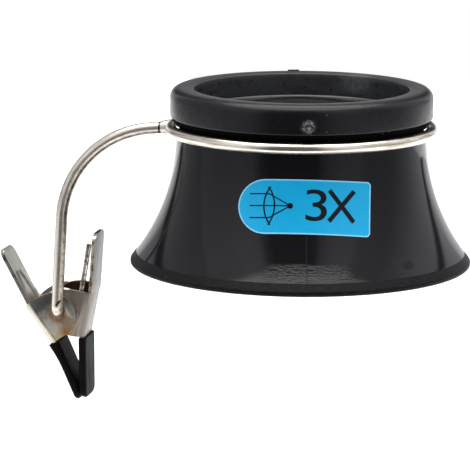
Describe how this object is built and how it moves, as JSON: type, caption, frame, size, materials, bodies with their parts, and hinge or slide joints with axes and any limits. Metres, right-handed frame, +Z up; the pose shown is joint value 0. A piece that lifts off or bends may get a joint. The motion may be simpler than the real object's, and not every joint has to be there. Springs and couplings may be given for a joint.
{
  "type": "clip-on eyeglass loupe",
  "caption": "Flared black eyecup with a glass magnifier lens, held in a wire ring on a bent wire arm that pivots in a small sprung clip with rubber-sleeved jaws.",
  "frame": {"origin": "between the two rubber-sleeved jaws, just above their tips, where they grip the spectacle frame", "axes": "+Z up along the loupe's optical axis, away from the eye; +X from the clip towards the loupe; +Y along the pivot pin, away from the arm"},
  "size_m": [0.0574, 0.0399, 0.0397],
  "materials": {
    "cup_plastic": "glossy flare, satin collar",
    "lens_glass": "polished",
    "spring_steel": "drawn wire",
    "label_film": "printed film",
    "plated_wire": "worn nickel plate",
    "plated_sheet": "worn nickel plate, rust at the pin",
    "solder": "tin solder",
    "sleeve_rubber": "satin"
  },
  "bodies": {
    "fixed_jaw": {"outer_clip_half": "plated_sheet", "outer_jaw_sleeve": "sleeve_rubber", "torsion_spring": "spring_steel"},
    "moving_jaw": {"inner_clip_half": "plated_sheet", "inner_jaw_sleeve": "sleeve_rubber"},
    "arm": {"arm_wire": "plated_wire", "wire_ring": "plated_wire", "solder_joint": "solder"},
    "loupe": {"loupe_body": "cup_plastic", "lens": "lens_glass", "lens_retainer": "spring_steel", "magnification_label": "label_film"}
  },
  "joints": [
    {"name": "jaw_open", "type": "hinge", "parent": "fixed_jaw", "child": "moving_jaw", "pos_m": [-0.00201, 0, 0.00939], "axis": [0, -1, 0], "range_deg": [0, 45], "stiffness_Nm_per_rad": 0.02, "springref_deg": -28.65, "deforming": ["torsion_spring"]},
    {"name": "arm_swivel", "type": "hinge", "parent": "fixed_jaw", "child": "arm", "pos_m": [-0.00201, 0, 0.00939], "axis": [0, 1, 0], "continuous": true},
    {"name": "ring_swivel", "type": "hinge", "parent": "arm", "child": "loupe", "pos_m": [0.02759, -0.00445, 0.03279], "axis": [0, 0, 1], "continuous": true}
  ]
}
